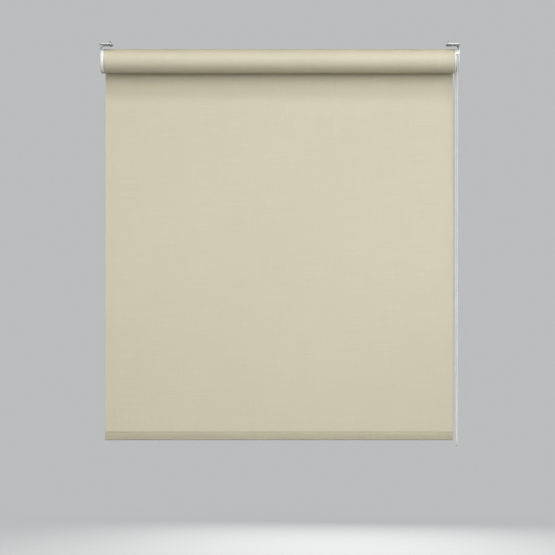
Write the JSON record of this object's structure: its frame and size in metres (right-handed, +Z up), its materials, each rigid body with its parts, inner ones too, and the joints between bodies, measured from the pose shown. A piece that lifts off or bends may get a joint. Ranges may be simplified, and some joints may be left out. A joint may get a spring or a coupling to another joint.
{
  "type": "roller blind",
  "caption": "Chain-operated roller blind for a window recess, with its fabric hanging off the back of the roll and a weighted hem.",
  "frame": {"origin": "middle of the left bracket's top face, which is screwed to the head of the window recess", "axes": "+X along the roller towards the chain end, +Y away from the room towards the window, +Z up"},
  "size_m": [1.0621, 0.0749, 1.2007],
  "materials": {
    "fabric": "plain woven cloth, cream",
    "white_plastic": "moulded, satin",
    "cream_plastic": "moulded, cream like the cloth",
    "grey_plastic": "moulded nylon",
    "aluminium": "extruded",
    "zinc_steel": "zinc plated",
    "spring_steel": "oiled wire",
    "adhesive": "double-sided tape"
  },
  "bodies": {
    "frame": {"left_bracket": "zinc_steel", "right_bracket": "zinc_steel", "left_screw_front": "zinc_steel", "left_screw_back": "zinc_steel", "right_screw_front": "zinc_steel", "right_screw_back": "zinc_steel", "left_end_cover": "white_plastic", "pin_bush": "grey_plastic", "clutch_core": "grey_plastic", "retaining_clip": "spring_steel", "wrap_spring_inner": "spring_steel", "wrap_spring_outer": "spring_steel", "chain_guard_inner": "white_plastic", "chain_guard_outer": "white_plastic", "chain_over_sprocket": "white_plastic", "chain_front_run": "white_plastic", "chain_back_run": "white_plastic", "chain_bottom_bend": "white_plastic", "fabric_sheet": "fabric"},
    "roller": {"roller_tube": "aluminium", "fabric_roll": "fabric", "fabric_tape": "adhesive", "idle_plug": "grey_plastic", "pin_bearing": "grey_plastic", "spring_cap": "grey_plastic", "pin_spring": "spring_steel", "tube_crown": "grey_plastic", "drive_hub": "grey_plastic", "chain_sprocket": "grey_plastic"},
    "pin": {"idle_pin": "zinc_steel"},
    "hem": {"hem_pocket": "fabric", "bottom_bar": "aluminium", "bar_cap_left": "cream_plastic", "bar_cap_right": "cream_plastic"}
  },
  "joints": [
    {"name": "roller_spin", "type": "hinge", "parent": "frame", "child": "roller", "pos_m": [0.5, 0, -0.049], "axis": [1, 0, 0], "range_deg": [-438.75, 1620]},
    {"name": "hem_lift", "type": "slide", "parent": "frame", "child": "hem", "axis": [0, 0, 1], "range_m": [-0.2773, 1.0236], "deforming": ["fabric_sheet"]},
    {"name": "idle_pin_slide", "type": "slide", "parent": "roller", "child": "pin", "axis": [1, 0, 0], "range_m": [0, 0.012], "stiffness_N_per_m": 250, "springref_m": -0.006, "deforming": ["pin_spring"]}
  ],
  "couplings": [
    {"joint": "hem_lift", "follows": "roller_spin", "m_per_rad": 0.0362}
  ]
}
